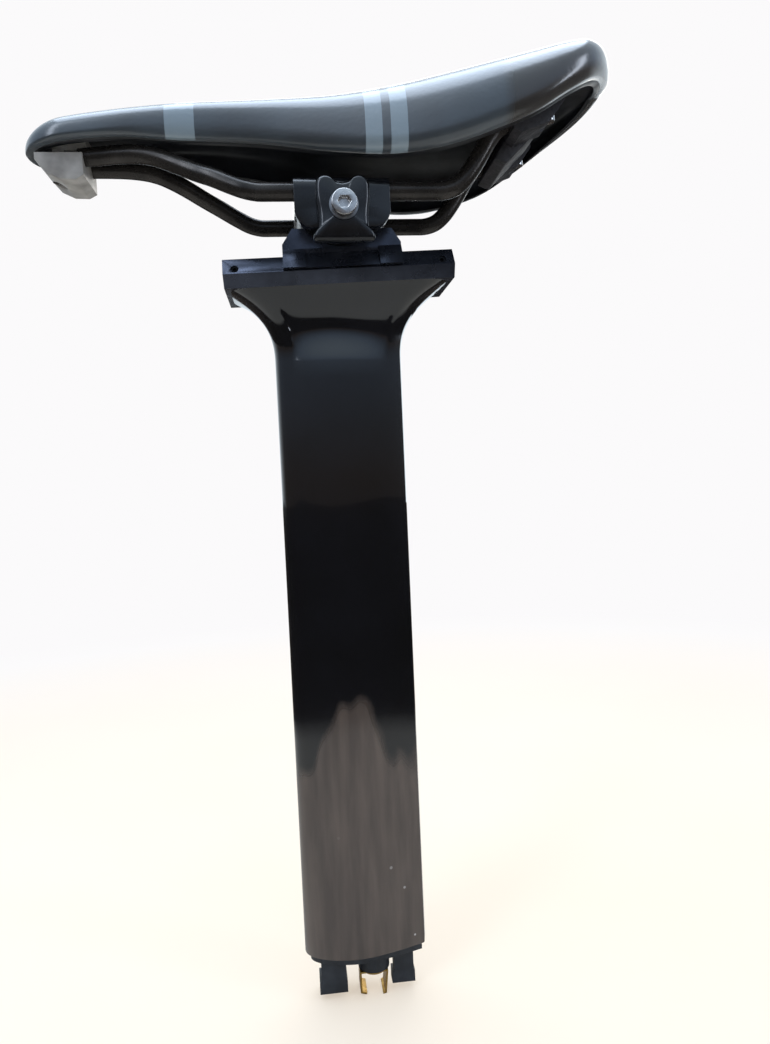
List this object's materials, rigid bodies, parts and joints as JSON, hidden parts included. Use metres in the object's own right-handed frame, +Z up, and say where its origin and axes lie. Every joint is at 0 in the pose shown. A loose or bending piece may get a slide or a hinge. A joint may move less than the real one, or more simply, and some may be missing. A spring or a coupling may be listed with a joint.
{
  "type": "bicycle seatpost",
  "caption": "Aero-section seatpost with a flared head rail, a sliding and tilting rail clamp, and a slim saddle on round rails.",
  "frame": {"origin": "middle of the insertion end of the post's tube", "axes": "+Z up the post, -X towards the saddle's nose, +Y to the far side"},
  "size_m": [0.2305, 0.096, 0.3811],
  "materials": {
    "post_carbon": "moulded carbon fibre under satin clear coat",
    "rail_alloy": "black anodised, satin",
    "clamp_alloy": "black anodised, bead blasted",
    "bolt_steel": "bright zinc-plated steel",
    "washer_steel": "plain steel",
    "stop_steel": "black oxide",
    "brass": "drawn brass",
    "plug_plastic": "moulded nylon",
    "saddle_rail_steel": "dark titanium colour, satin",
    "clip_plastic": "moulded light grey nylon",
    "socket_plastic": "glass-filled nylon",
    "shell_plastic": "moulded carbon-filled nylon",
    "foam": "closed-cell foam",
    "cover": "microfibre cover, fine grain"
  },
  "bodies": {
    "post": {"post": "post_carbon", "head_rail": "rail_alloy", "rail_stop_front": "stop_steel", "rail_stop_rear": "stop_steel", "end_plug": "plug_plastic", "plug_clip": "brass", "brass_insert": "brass"},
    "carriage": {"carriage": "rail_alloy", "t_nut": "washer_steel", "carriage_washer": "washer_steel", "carriage_bolt": "bolt_steel"},
    "clamp": {"clamp_rocker": "clamp_alloy", "clamp_jaw_near": "clamp_alloy", "clamp_jaw_far": "clamp_alloy", "clamp_plate_near": "clamp_alloy", "clamp_plate_far": "clamp_alloy", "clamp_washer": "washer_steel", "clamp_nut": "bolt_steel"},
    "bolt": {"clamp_bolt": "bolt_steel"},
    "saddle": {"saddle_rail_near": "saddle_rail_steel", "saddle_rail_far": "saddle_rail_steel", "nose_clip": "clip_plastic", "nose_screw": "bolt_steel", "rear_socket_near": "socket_plastic", "rear_socket_far": "socket_plastic", "rear_bracket": "socket_plastic", "socket_screws": "bolt_steel", "saddle_shell": "shell_plastic", "saddle_foam": "foam", "saddle_cover": "cover"}
  },
  "joints": [
    {"name": "carriage_slide", "type": "slide", "parent": "post", "child": "carriage", "axis": [0.9995, 0, 0.0332], "range_m": [-0.02, 0.019]},
    {"name": "saddle_tilt", "type": "hinge", "parent": "carriage", "child": "clamp", "pos_m": [0.0024, 0, 0.3074], "axis": [0, 1, 0], "range_deg": [-10, 10]},
    {"name": "clamp_bolt_turn", "type": "hinge", "parent": "clamp", "child": "bolt", "pos_m": [0.0024, 0, 0.2991], "axis": [0, 1, 0], "continuous": true},
    {"name": "saddle_slide", "type": "slide", "parent": "clamp", "child": "saddle", "axis": [1, 0, 0], "range_m": [-0.01, 0.01]}
  ]
}
